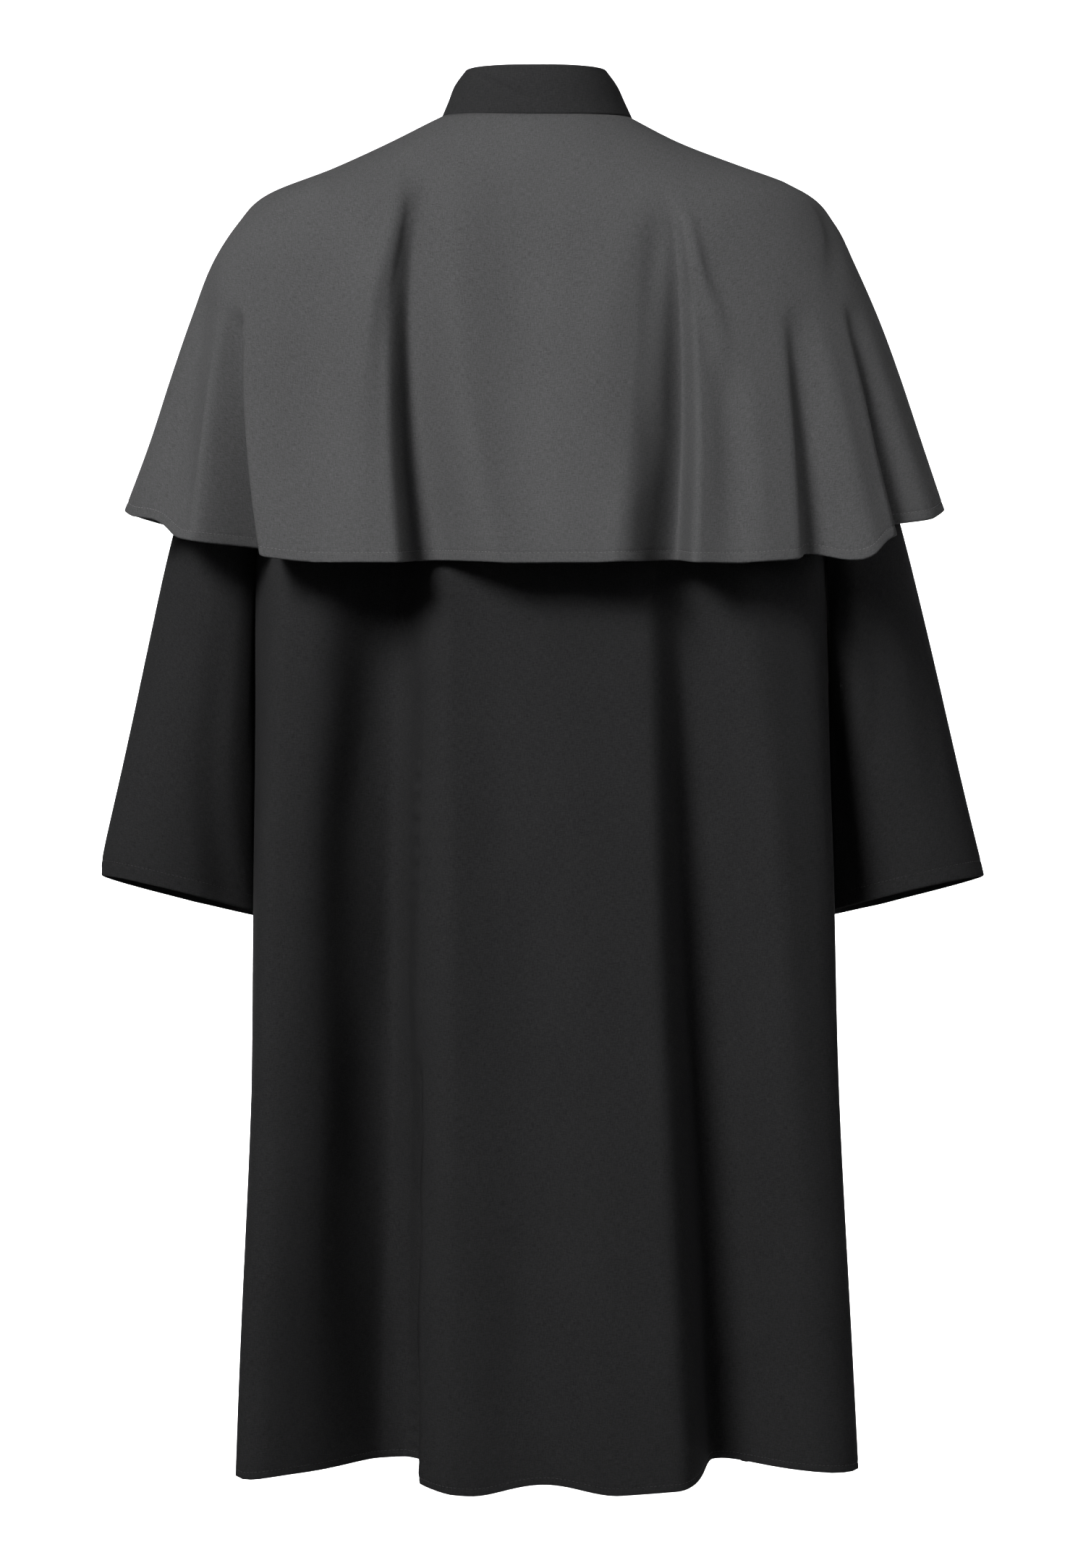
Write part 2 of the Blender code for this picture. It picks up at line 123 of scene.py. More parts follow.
class nodeTree:
    def __init__(self, tree):
        self.tree = tree

    def add(self, kind, settings=None, values=None):
        node = self.tree.nodes.new(kind)
        for name, setting in (settings or {}).items():
            setattr(node, name, setting)
        for key, value in (values or {}).items():
            self.put(node.inputs[key], value)
        return node

    def put(self, socket, value):
        if isinstance(value, number):
            value = value.socket
        if isinstance(value, bpy.types.NodeSocket):
            self.tree.links.new(value, socket)
        else:
            socket.default_value = value

    def number(self, socket):
        return number(self, socket)

    def scaled(self, colour, factor):
        values = {0: colour, "Scale": factor}
        return self.add("ShaderNodeVectorMath", {"operation": "SCALE"}, values).outputs[0]

class number:
    def __init__(self, nodes, socket):
        self.nodes, self.socket = nodes, socket

    def maths(self, operation, *values):
        node = self.nodes.add("ShaderNodeMath", {"operation": operation}, dict(enumerate(values)))
        return number(self.nodes, node.outputs[0])

    def __add__(self, other):
        return self.maths("ADD", self, other)

    def __sub__(self, other):
        return self.maths("SUBTRACT", self, other)

    def __rsub__(self, other):
        return self.maths("SUBTRACT", other, self)

    def __mul__(self, other):
        return self.maths("MULTIPLY", self, other)

    __radd__, __rmul__ = __add__, __mul__

def newMaterial(name):
    material = bpy.data.materials.new(name)
    material.use_nodes = True
    tree = material.node_tree
    return material, nodeTree(tree), tree.nodes["Principled BSDF"].inputs


def buildStage():
    # a round pale floor that curves up into a wall
    paint, nodes, shader = newMaterial("floor")
    shader["Base Color"].default_value = (*studio["paint"], 1)
    shader["Roughness"].default_value = studio["roughness"]
    shader["Specular IOR Level"].default_value = 0.0
    height, reach, curve = cadBox[0].z - studio["floorDrop"], studio["floorReach"], studio["curve"]
    turn = np.linspace(0, math.pi / 2, studio["curveRows"])
    profile = [
        (studio["hub"], height),
        *zip(reach + curve * np.sin(turn), height + curve * (1 - np.cos(turn))),
        (reach + curve, height + studio["wallHeight"])]
    columns = studio["columns"]
    around = np.linspace(0, 2 * math.pi, columns, endpoint=False)
    vertices = [(r * math.cos(a), r * math.sin(a), z) for r, z in profile for a in around]
    faces = []
    for row in range(len(profile) - 1):
        inner, outer = row * columns, (row + 1) * columns
        for at in range(columns):
            beside = (at + 1) % columns
            faces.append((outer + at, outer + beside, inner + beside, inner + at))
    faces.append(tuple(range(columns)))
    mesh = bpy.data.meshes.new("floor")
    mesh.from_pydata(vertices, [], faces)
    mesh.shade_smooth()
    mesh.materials.append(paint)
    floor = newObject("floor", mesh)

    world = bpy.data.worlds.new("studio")
    world.use_nodes = True
    bpy.context.scene.world = world
    sky = world.node_tree.nodes["Background"].inputs
    sky["Color"].default_value = (1, 1, 1, 1)
    sky["Strength"].default_value = studio["skyStrength"]


# The form that the cloth hangs in. A ring is a level of it: how far it reaches left and right
# of the middle, where its widest point, its back and its front lie, the height of each of
# those, how square it is seen from above, where 2 is an ellipse and more is boxier, and
# how soon it drops from its side to its back and to its front.

ring = namedtuple(
    "ring", "name left right sideY backY frontY sideZ backZ frontZ square backDrop frontDrop",
    defaults=(2.0, 2.0))

gownRings = [ring(*row) for row in (
    # name               left   right   sideY   backY   frontY    sideZ    backZ   frontZ square
    ("neck seam",      0.0832, 0.0757, -0.004, 0.0645, -0.0795,  0.0032, -0.0016, -0.0570, 2.25),
    ("yoke",           0.1250, 0.1210, -0.002, 0.0840,  -0.094, -0.0195, -0.0330, -0.0820, 2.25),
    ("shoulder",       0.1680, 0.1660,  0.001, 0.1010,  -0.108, -0.0390, -0.0700, -0.1120, 2.25),
    ("shoulder point", 0.2080, 0.2050,  0.005, 0.1120,  -0.118, -0.0575, -0.1080, -0.1450, 2.25),
    ("shoulder blade", 0.2150, 0.2140,  0.010, 0.1200,  -0.127, -0.1450, -0.1740, -0.1960, 2.25),
    ("chest",          0.2270, 0.2260,  0.015, 0.1260,  -0.134, -0.2250, -0.2400, -0.2520, 2.25),
    ("underarm",       0.2360, 0.2350,  0.018, 0.1300,  -0.139, -0.2850, -0.2950, -0.3020, 2.25),
    ("below the cape", 0.2425, 0.2415,  0.020, 0.1350,  -0.144, -0.3720, -0.3790, -0.3830,  2.7),
    ("waist",          0.2430, 0.2445,  0.020, 0.1420,  -0.150, -0.5500, -0.5550, -0.5580,  3.2),
    ("hip",            0.2470, 0.2500,  0.020, 0.1530,  -0.160, -0.8000, -0.8050, -0.8060,  3.2),
    ("hem",            0.2545, 0.2600,  0.020, 0.1740,  -0.176, -1.1330, -1.1480, -1.1440,  3.2),
)]
shoulderPoint, underarm = 3, 6  # the rings where the armhole starts and ends

capeRings = [ring(*row) for row in (
    # name               left   right   sideY   backY  frontY    sideZ    backZ   frontZ square  drops
    ("neck seam",      0.0865, 0.0790, -0.004, 0.0680, -0.083,  0.0050,  0.0000, -0.0540, 2.25,  2.0, 2.0),
    ("yoke",           0.1280, 0.1190, -0.002, 0.0890, -0.100, -0.0160, -0.0270, -0.0760, 2.25,  2.0, 2.0),
    ("shoulder",       0.1780, 0.1710,  0.000, 0.1060, -0.116, -0.0375, -0.0600, -0.1050, 2.25,  2.0, 2.0),
    ("shoulder point", 0.2350, 0.2290,  0.002, 0.1210, -0.130, -0.0610, -0.0960, -0.1350, 2.25,  2.0, 2.0),
    ("over the arm",   0.2600, 0.2520,  0.002, 0.1340, -0.141, -0.0860, -0.1330, -0.1660, 2.25,  2.5, 2.0),
    ("upper arm",      0.2820, 0.2690,  0.002, 0.1470, -0.152, -0.1210, -0.1760, -0.2040, 2.25,  3.5, 2.2),
    ("arm",            0.2990, 0.2880,  0.002, 0.1590, -0.163, -0.1660, -0.2240, -0.2480, 2.25,  5.0, 2.4),
    ("lower arm",      0.3160, 0.3060,  0.002, 0.1710, -0.174, -0.2160, -0.2760, -0.2970, 2.25,  7.0, 2.6),
    ("above the hem",  0.3340, 0.3240,  0.002, 0.1820, -0.184, -0.2700, -0.3290, -0.3470, 2.25,  9.0, 2.8),
    ("hem",            0.3570, 0.3440,  0.002, 0.1930, -0.194, -0.3300, -0.3830, -0.3980, 2.25, 11.0, 3.0),
)]

collarRings = [ring(*row) for row in (
    # name      left   right   sideY   backY   frontY   sideZ   backZ   frontZ square
    ("base",  0.0861, 0.0786, -0.004, 0.0676, -0.0826, 0.0052, 0.0003, -0.0529, 2.25),
    ("lower", 0.0800, 0.0720, -0.004, 0.0655,  -0.079, 0.0195, 0.0146, -0.0390, 2.25),
    ("upper", 0.0745, 0.0655, -0.004, 0.0640,  -0.076, 0.0335, 0.0287, -0.0255, 2.25),
    ("top",   0.0655, 0.0565, -0.004, 0.0615,  -0.071, 0.0460, 0.0427, -0.0125, 2.25),
)]

# A fold is a trough that runs down to the hem: its bearing where it starts and at the hem,
# the height where it starts, and at the hem how deep it is, how far its floor leans
# towards higher bearings, how far it reaches on each side, and how far it lifts the hem.
fold = namedtuple("fold", "name top hem start depth lean lowSide highSide lift")

gownFolds = [fold(*row) for row in (
    # name                  top     hem   start   depth    lean lowSide highSide    lift
    ("back left",          52.0,   46.5, -0.040,  0.106,  0.000,  0.064,   0.084,  0.008),
    ("back left lip",      38.0,   37.5, -0.780,  0.018, -0.026,  0.012,   0.045,  0.004),
    ("back left panel",    72.0,   72.0, -0.140, -0.016, -0.025,  0.050,   0.035, -0.004),
    ("back middle",        -2.0,   -1.0, -0.550,  0.009,  0.000,  0.065,   0.065,  0.010),
    ("back right",        -47.0,  -51.2, -0.260,  0.080,  0.004,  0.084,   0.048,  0.010),
    ("back right panel",  -74.0,  -74.0, -0.200, -0.012,  0.000,  0.040,   0.045, -0.002),
    ("side left",          88.0,   84.0, -0.500,  0.006,  0.000,  0.050,   0.050,  0.000),
    ("front left side",   124.0,  122.0, -0.260,  0.028,  0.010,  0.070,   0.028,  0.016),
    ("front left",        152.0,  150.0, -0.340,  0.020, -0.008,  0.026,   0.060,  0.012),
    ("front right side", -120.0, -119.0, -0.280,  0.030, -0.010,  0.028,   0.074,  0.018),
    ("front right",      -150.0, -146.0, -0.360,  0.018,  0.006,  0.060,   0.030,  0.010),
)]

capeFolds = [fold(*row) for row in (
    # name                  top     hem   start   depth    lean lowSide highSide    lift
    ("left side",          82.0,   76.0, -0.120,  0.010,  0.000,  0.036,   0.036,  0.003),
    ("left back",          72.0,   60.3, -0.150,  0.062, -0.004,  0.021,   0.042,  0.003),
    ("left deep",          43.0,   25.6, -0.036,  0.050,  0.010,  0.058,   0.029,  0.004),
    ("middle",              2.0,    2.0, -0.060,  0.004,  0.000,  0.060,   0.060,  0.000),
    ("right deep",        -43.5,  -30.0, -0.050,  0.046, -0.010,  0.020,   0.050,  0.004),
    ("right panel",       -47.0,  -41.0, -0.100,  0.007,  0.000,  0.034,   0.034,  0.000),
    ("right back",        -62.5,  -58.0, -0.140,  0.026,  0.004,  0.044,   0.024,  0.002),
    ("right side edge",   -66.0,  -63.5, -0.150, -0.006,  0.000,  0.030,   0.030, -0.011),
    ("right side",        -74.0,  -72.5, -0.150,  0.028,  0.010,  0.038,   0.016,  0.002),
    ("front left side",   104.0,  112.0, -0.080,  0.022,  0.009,  0.048,   0.018,  0.003),
    ("front left",        138.0,  149.0, -0.070,  0.030, -0.011,  0.020,   0.070,  0.004),
    ("front right side", -103.0, -109.0, -0.080,  0.020, -0.009,  0.018,   0.048,  0.003),
    ("front right",      -136.0, -147.0, -0.070,  0.028,  0.011,  0.066,   0.020,  0.004),
)]

form = dict(
    foldEase=0.15,            # how gently a fold sets in
    foldGrowth=1.5,           # how its depth grows down the cloth
    foldTopWidth=0.50,        # its width where it starts, as a share of that at the hem
    foldGather=700,           # how strongly a fold's size draws the columns closer together
    gatherReach=16.0,         # degrees on each side over which it does
    gatherSamples=2000,
    hemCrowding=1.5,          # how much closer together the last rows lie: 1 is even
)

def unit(vectors):
    return vectors / np.linalg.norm(vectors, axis=-1, keepdims=True)

def smoothBetween(table, station):
    # the table's rows as one smooth run, read at each station, which counts rows
    table = np.asarray(table, float)
    last = len(table) - 1
    row = np.clip(np.floor(station).astype(int), 0, last - 1)
    step = (station - row).reshape((-1,) + (1,) * (table.ndim - 1))
    run = np.concatenate([(2 * table[0] - table[1])[None], table, (2 * table[-1] - table[-2])[None]])
    before, start, end, after = run[row], run[row + 1], run[row + 2], run[row + 3]
    return start + 0.5 * step * (
        end - before
        + step * (2 * before - 5 * start + 4 * end - after
                  + step * (3 * (start - end) + after - before)))

def stationRuns(rowsBetween, first=0):
    # ring numbers, with this many even rows between one ring and the next
    runs = [first + level + np.arange(rows) / rows for level, rows in enumerate(rowsBetween)]
    return np.concatenate(runs + [np.array([first + len(rowsBetween)], float)])

def closerAtTheHem(station, last):
    # the rows of the last ring gap move towards the hem, where the turn-up and stitches are
    along = np.clip(station - (last - 1), 0, 1)
    return np.where(station > last - 1, last - (1 - along) ** form["hemCrowding"], station)

def trough(offset, lowSide, highSide):
    # 1 on its floor and 0 where it ends, with a reach of its own on each side
    reach = np.where(offset < 0, lowSide, highSide)
    return 0.5 + 0.5 * np.cos(math.pi * np.clip(offset / reach, -1, 1))

def fallenShare(each, rings, height):
    # how far down this height is on the fold's way to the hem
    return np.clip((each.start - height) / (each.start - rings[-1].sideZ), 0, 1)

def ringColumn(rings, station, column):
    return smoothBetween([[getattr(each, column)] for each in rings], station)

def wornCloth(rings, folds, station, bearing):
    # the outer face of the form: a row for each station, a column for each bearing in radians
    columns = smoothBetween([each[1:] for each in rings], station).T[:, :, None]
    left, right, sideY, backY, frontY, sideZ, backZ, frontZ, square, backDrop, frontDrop = columns
    sine, cosine = np.sin(bearing), np.cos(bearing)
    halfWidth = np.where(sine > 0, left, right)
    halfDepth = np.where(cosine > 0, backY - sideY, sideY - frontY)
    radius = ((np.abs(sine) / halfWidth) ** square
              + (np.abs(cosine) / halfDepth) ** square) ** (-1 / square)
    x, y = radius * sine, radius * cosine
    drop = np.where(cosine > 0, backDrop, frontDrop)
    z = sideZ + (np.where(cosine > 0, backZ, frontZ) - sideZ) * (1 - np.abs(sine) ** drop)
    outX = np.sign(x) * np.abs(x / halfWidth) ** (square - 1) / halfWidth
    outY = np.sign(y) * np.abs(y / halfDepth) ** (square - 1) / halfDepth
    outLength = np.hypot(outX, outY)
    outX, outY = outX / outLength, outY / outLength
    for each in folds:
        fallen = fallenShare(each, rings, sideZ)
        grown = fallen ** form["foldGrowth"] * (1 + form["foldEase"]) / (fallen + form["foldEase"])
        width = form["foldTopWidth"] + (1 - form["foldTopWidth"]) * fallen
        middle = np.radians(each.top + (each.hem - each.top) * fallen)
        share = grown * trough((bearing - middle) * radius, each.lowSide * width, each.highSide * width)
        x = x - share * (each.depth * outX - each.lean * outY)
        y = y - share * (each.depth * outY + each.lean * outX)
        z = z + share * each.lift
    return np.stack([x, y + sideY, z], axis=-1)

def gatheredColumns(count, folds, low, high):
    # bearings at the hem from one edge to the other, closer together at the folds
    bearing = np.linspace(low, high, form["gatherSamples"])
    density = np.ones_like(bearing)
    for each in folds:
        pull = form["foldGather"] * (each.lowSide + each.highSide) * each.depth
        density += max(pull, 0) * trough(bearing - each.hem, form["gatherReach"], form["gatherReach"])
    run = np.concatenate([[0], np.cumsum((density[1:] + density[:-1]) / 2)])
    return np.interp(np.linspace(0, run[-1], count + 1), run, bearing)

def spread(bearing, low, high, lowEdge, highEdge):
    # the bearings between low and high, fitted between a piece's two edges
    return lowEdge + (highEdge - lowEdge) * (bearing - low) / (high - low)

def alongFolds(count, folds, low, high, rings, station):
    # the bearings at the hem, moved at each station as the folds there have moved
    bearing = gatheredColumns(count, folds, low, high)
    inside = sorted((each for each in folds if low < each.hem < high), key=lambda each: each.hem)
    atHem = [low, *(each.hem for each in inside), high]
    moved = []
    for height in ringColumn(rings, station, "sideZ")[:, 0]:
        here = [each.top + (each.hem - each.top) * fallenShare(each, rings, height) for each in inside]
        moved.append(np.interp(bearing, atHem, [low, *here, high]))
    return np.array(moved)


# Creases: the smaller forms. Each is a run of points down the cloth as seen
# from the back or the front: x, z, how deep it is there, and how far it reaches towards the
# wearer's left and right. A depth below nothing is a ridge.

creasing = dict(
    samples=12,               # between one point of a run and the next
    facing=0.25,              # cloth that faces the view less than this has weaker creases
)

capeBack = {
    "left shoulder curve": (
        (0.180, -0.059, 0.000, 0.012, 0.008),
        (0.196, -0.074, 0.0026, 0.014, 0.008),
        (0.211, -0.090, 0.004, 0.018, 0.009),
        (0.229, -0.112, 0.004, 0.022, 0.011),
        (0.242, -0.145, 0.0034, 0.024, 0.014),
        (0.248, -0.185, 0.003, 0.026, 0.014),
        (0.249, -0.230, 0.000, 0.026, 0.014)),
    "left side": (
        (0.274, -0.150, 0.000, 0.014, 0.016),
        (0.288, -0.200, 0.006, 0.018, 0.020),
        (0.298, -0.260, 0.0095, 0.020, 0.022),
        (0.303, -0.310, 0.010, 0.020, 0.022),
        (0.306, -0.345, 0.008, 0.020, 0.022)),
    "left panel ridge": (
        (0.115, -0.042, 0.000, 0.018, 0.010),
        (0.1234, -0.1011, -0.006, 0.022, 0.012),
        (0.1383, -0.1623, -0.008, 0.026, 0.016),
        (0.1472, -0.2293, -0.0055, 0.030, 0.020),
        (0.148, -0.300, -0.003, 0.034, 0.020),
        (0.148, -0.370, 0.000, 0.034, 0.020)),
    "left panel hollow": (
        (0.185, -0.085, 0.000, 0.034, 0.034),
        (0.188, -0.130, 0.006, 0.046, 0.046),
        (0.191, -0.200, 0.008, 0.050, 0.050),
        (0.189, -0.300, 0.007, 0.050, 0.050),
        (0.184, -0.385, 0.0028, 0.044, 0.044)),
    "middle": (
        (0.016, -0.055, 0.000, 0.044, 0.040),
        (0.018, -0.118, 0.0042, 0.048, 0.042),
        (0.021, -0.2066, 0.006, 0.052, 0.046),
        (0.024, -0.290, 0.0056, 0.052, 0.046),
        (0.024, -0.370, 0.0016, 0.050, 0.046)),
    "right of the middle": (
        (-0.094, -0.090, 0.000, 0.030, 0.012),
        (-0.093, -0.130, 0.0042, 0.034, 0.014),
        (-0.084, -0.2115, 0.005, 0.036, 0.018),
        (-0.082, -0.2483, 0.0046, 0.036, 0.020),
        (-0.086, -0.296, 0.001, 0.034, 0.020),
        (-0.070, -0.340, -0.003, 0.024, 0.024),
        (-0.070, -0.385, -0.006, 0.024, 0.024)),
    "right thin ridge": (
        (-0.1199, -0.0812, 0.000, 0.010, 0.008),
        (-0.1265, -0.113, -0.0042, 0.012, 0.008),
        (-0.133, -0.1451, -0.0056, 0.014, 0.009),
        (-0.144, -0.1749, -0.0046, 0.016, 0.011),
        (-0.150, -0.2048, -0.002, 0.016, 0.012),
        (-0.152, -0.240, 0.000, 0.016, 0.012)),
    "right shallow": (
        (-0.150, -0.205, 0.000, 0.018, 0.020),
        (-0.156, -0.245, 0.004, 0.020, 0.022),
        (-0.160, -0.290, 0.0044, 0.022, 0.024),
        (-0.161, -0.350, 0.0024, 0.022, 0.024),
        (-0.161, -0.390, 0.001, 0.022, 0.024)),
    "right shoulder": (
        (-0.206, -0.050, 0.000, 0.008, 0.010),
        (-0.220, -0.060, 0.002, 0.008, 0.012),
        (-0.2379, -0.0765, 0.0028, 0.009, 0.014),
        (-0.2459, -0.1028, 0.0022, 0.010, 0.014),
        (-0.245, -0.1334, 0.001, 0.012, 0.014),
        (-0.244, -0.160, 0.000, 0.012, 0.014)),
}

gownBack = {
    "left soft trough": (
        (0.142, -0.380, 0.000, 0.030, 0.020),
        (0.1478, -0.4952, 0.003, 0.034, 0.024),
        (0.158, -0.5957, 0.005, 0.036, 0.026),
        (0.1604, -0.7208, 0.004, 0.036, 0.028),
        (0.1526, -0.8213, 0.005, 0.038, 0.028),
        (0.1604, -0.9715, 0.003, 0.038, 0.030),
        (0.158, -1.100, 0.000, 0.036, 0.030)),
    "left ridge": (
        (0.092, -0.370, -0.001, 0.016, 0.030),
        (0.096, -0.520, -0.004, 0.016, 0.034),
        (0.0975, -0.7199, -0.0065, 0.015, 0.036),
        (0.096, -0.7949, -0.0055, 0.015, 0.036),
        (0.100, -0.9692, -0.006, 0.014, 0.036),
        (0.102, -1.130, -0.005, 0.014, 0.032)),
    "middle": (
        (0.038, -0.390, 0.002, 0.040, 0.050),
        (0.034, -0.560, 0.0065, 0.044, 0.056),
        (0.030, -0.740, 0.008, 0.046, 0.062),
        (0.026, -0.920, 0.007, 0.046, 0.062),
        (0.026, -1.140, 0.003, 0.044, 0.056)),
    "right soft": (
        (-0.130, -0.460, 0.000, 0.024, 0.034),
        (-0.1271, -0.6207, 0.003, 0.026, 0.038),
        (-0.1474, -0.8206, 0.0045, 0.030, 0.042),
        (-0.1647, -1.045, 0.003, 0.032, 0.044),
        (-0.170, -1.140, 0.000, 0.032, 0.044)),
}

gownFront = {
    "left of the lap": (
        (0.070, -0.360, 0.000, 0.030, 0.026),
        (0.064, -0.560, 0.003, 0.034, 0.026),
        (0.072, -0.820, 0.004, 0.038, 0.028),
        (0.066, -1.140, 0.001, 0.038, 0.028)),
    "left side": (
        (0.190, -0.420, 0.000, 0.020, 0.030),
        (0.196, -0.640, 0.003, 0.022, 0.034),
        (0.188, -0.900, 0.0035, 0.024, 0.036),
        (0.194, -1.130, 0.000, 0.024, 0.036)),
    "right of the lap": (
        (-0.080, -0.400, 0.000, 0.026, 0.030),
        (-0.090, -0.680, 0.0035, 0.028, 0.036),
        (-0.083, -0.970, 0.003, 0.030, 0.038),
        (-0.088, -1.140, 0.000, 0.030, 0.038)),
    "right side": (
        (-0.200, -0.460, 0.000, 0.030, 0.020),
        (-0.192, -0.760, 0.004, 0.034, 0.024),
        (-0.201, -1.120, 0.000, 0.036, 0.024)),
}

capeFront = {
    "left shoulder": (
        (0.150, -0.090, 0.000, 0.016, 0.010),
        (0.170, -0.120, 0.0025, 0.018, 0.010),
        (0.182, -0.165, 0.0015, 0.020, 0.012),
        (0.186, -0.210, 0.000, 0.020, 0.012)),
    "left panel": (
        (0.090, -0.150, 0.000, 0.024, 0.024),
        (0.085, -0.240, 0.0035, 0.028, 0.024),
        (0.078, -0.380, 0.001, 0.030, 0.026)),
    "right shoulder": (
        (-0.160, -0.095, 0.000, 0.010, 0.016),
        (-0.178, -0.135, 0.0025, 0.010, 0.018),
        (-0.185, -0.190, 0.000, 0.012, 0.020)),
    "right panel": (
        (-0.075, -0.140, 0.000, 0.024, 0.024),
        (-0.082, -0.230, 0.003, 0.024, 0.028),
        (-0.076, -0.370, 0.001, 0.026, 0.030)),
}

sleeveBack = {
    "left inner": (
        (0.264, -0.360, 0.000, 0.020, 0.016),
        (0.272, -0.470, 0.0025, 0.022, 0.016),
        (0.279, -0.560, 0.003, 0.024, 0.018),
        (0.270, -0.648, 0.004, 0.026, 0.020),
        (0.265, -0.670, 0.003, 0.026, 0.020)),
    "left outer": (
        (0.325, -0.390, 0.000, 0.016, 0.022),
        (0.335, -0.480, 0.002, 0.016, 0.024),
        (0.348, -0.590, 0.000, 0.016, 0.024)),
    "right under the cape": (
        (-0.248, -0.360, 0.000, 0.010, 0.008),
        (-0.244, -0.400, 0.003, 0.010, 0.008),
        (-0.239, -0.450, 0.000, 0.010, 0.008)),
    "right ridge": (
        (-0.260, -0.360, 0.000, 0.012, 0.016),
        (-0.2672, -0.4396, -0.003, 0.014, 0.018),
        (-0.2696, -0.4884, -0.003, 0.014, 0.018),
        (-0.2672, -0.560, 0.000, 0.014, 0.018)),
    "right hollow": (
        (-0.250, -0.480, 0.000, 0.014, 0.014),
        (-0.2483, -0.542, 0.004, 0.014, 0.016),
        (-0.260, -0.620, 0.004, 0.018, 0.020),
        (-0.268, -0.668, 0.003, 0.020, 0.022)),
    "right outer": (
        (-0.315, -0.380, 0.000, 0.020, 0.016),
        (-0.330, -0.500, 0.002, 0.022, 0.016),
        (-0.342, -0.620, 0.000, 0.022, 0.016)),
}

sleeveFront = {
    "left elbow": (
        (0.256, -0.390, 0.000, 0.018, 0.016),
        (0.275, -0.440, 0.0035, 0.018, 0.016),
        (0.300, -0.475, 0.002, 0.018, 0.016),
        (0.315, -0.490, 0.000, 0.016, 0.016)),
    "left lower": (
        (0.280, -0.520, 0.000, 0.020, 0.018),
        (0.295, -0.600, 0.003, 0.022, 0.020),
        (0.305, -0.660, 0.002, 0.022, 0.020)),
    "right elbow": (
        (-0.260, -0.400, 0.000, 0.016, 0.018),
        (-0.280, -0.445, 0.003, 0.016, 0.018),
        (-0.308, -0.485, 0.000, 0.016, 0.018)),
    "right lower": (
        (-0.285, -0.540, 0.000, 0.018, 0.020),
        (-0.292, -0.610, 0.003, 0.020, 0.022),
        (-0.300, -0.665, 0.002, 0.020, 0.022)),
}

collarBack = {
    "diagonal": (
        (0.054, 0.037, 0.000, 0.006, 0.004),
        (0.0487, 0.0336, 0.0008, 0.007, 0.004),
        (0.0292, 0.0233, 0.001, 0.008, 0.004),
        (0.0122, 0.0141, 0.0005, 0.008, 0.004),
        (0.004, 0.010, 0.000, 0.008, 0.004)),
}

def gridNormals(points, closed=False):
    if closed:
        across = np.roll(points, -1, 1) - np.roll(points, 1, 1)
    else:
        across = np.gradient(points, axis=1)
    down = np.gradient(points, axis=0)
    return unit(np.cross(across, down))

def creased(points, creases, facing, closed=False):
    # facing is 1 for creases drawn on the back and -1 on the front
    normal = gridNormals(points, closed)
    turned = np.clip(normal[..., 1] * facing / creasing["facing"], 0, 1)
    push = np.zeros(points.shape[:2])
    for run in creases.values():
        steps = len(run) - 1
        table = smoothBetween(np.array(run), np.linspace(0, steps, creasing["samples"] * steps + 1))
        path, depth, leftReach, rightReach = table[:, :2], table[:, 2], table[:, 3], table[:, 4]
        step = np.gradient(path, axis=0)
        aside = unit(np.stack([-step[:, 1], step[:, 0]], axis=1))
        widest = max(leftReach.max(), rightReach.max())
        low, high = path.min(0) - widest, path.max(0) + widest
        x, z = points[..., 0], points[..., 2]
        near = (x > low[0]) & (x < high[0]) & (z > low[1]) & (z < high[1]) & (turned > 0)
        offset = np.stack([x[near], z[near]], axis=1)[:, None] - path[None]
        nearest = np.argmin((offset ** 2).sum(-1), axis=1)
        here = offset[np.arange(len(nearest)), nearest]
        side = (here * aside[nearest]).sum(-1)
        reach = np.where(side > 0, leftReach[nearest], rightReach[nearest])
        share = 0.5 + 0.5 * np.cos(math.pi * np.clip(np.hypot(*here.T) / reach, 0, 1))
        push[near] += depth[nearest] * share
    return points - (push * turned)[..., None] * normal


# The cloth shells

clothFace = dict(
    wall=0.0011,
    collarWall=0.0022,
    turnUpStep=0.0012,        # the width over which the turned-up hem sets in
    groove=0.0011,            # half the width of the groove that the stitches draw in
    edgeRoll=0.0016,          # how far up from the hem its edge rolls in, and how deep
    edgeDepth=0.0003,
    rounding=0.32,            # how far an edge bulges out, as a share of the wall there
)
# Two waves make a slow unevenness: how deep it is, how fast each wave turns across and down,
# how much the place from back to front counts in it, and how strong the second wave is
wander = dict(
    depth=0.0009, across=(23.0, 41.0), down=(9.0, 17.0), slant=(0.6, -0.4), second=0.6, turn=1.7)

def wandered(points, closed, seed):
    # no face is quite smooth
    x, y, z = points[..., 0], points[..., 1], points[..., 2]
    turn = seed * wander["turn"]
    across, down, slant = wander["across"], wander["down"], wander["slant"]
    first = np.sin(across[0] * (x + slant[0] * y) + turn) * np.sin(down[0] * z + 2 * turn)
    second = np.sin(across[1] * (x + slant[1] * y) - turn) * np.sin(down[1] * z + turn)
    push = wander["depth"] * (first + wander["second"] * second)
    return points + push[..., None] * gridNormals(points, closed)

def distanceFromHem(points):
    steps = np.linalg.norm(np.diff(points, axis=0), axis=-1)
    return np.concatenate([np.cumsum(steps[::-1], axis=0)[::-1], np.zeros((1, points.shape[1]))])

def edgeRuns(index, closed):
    # each run of points along the edges, and the points beside them, further in
    if closed:
        return [(index[0], index[1]), (index[-1][::-1], index[-2][::-1])]
    run = [index[0, :], index[1:, -1], index[-1, -2::-1], index[-2:0:-1, 0]]
    further = [index[1, :], index[1:, -2], index[-2, -2::-1], index[-2:0:-1, 1]]
    return [(np.concatenate(run), np.concatenate(further))]

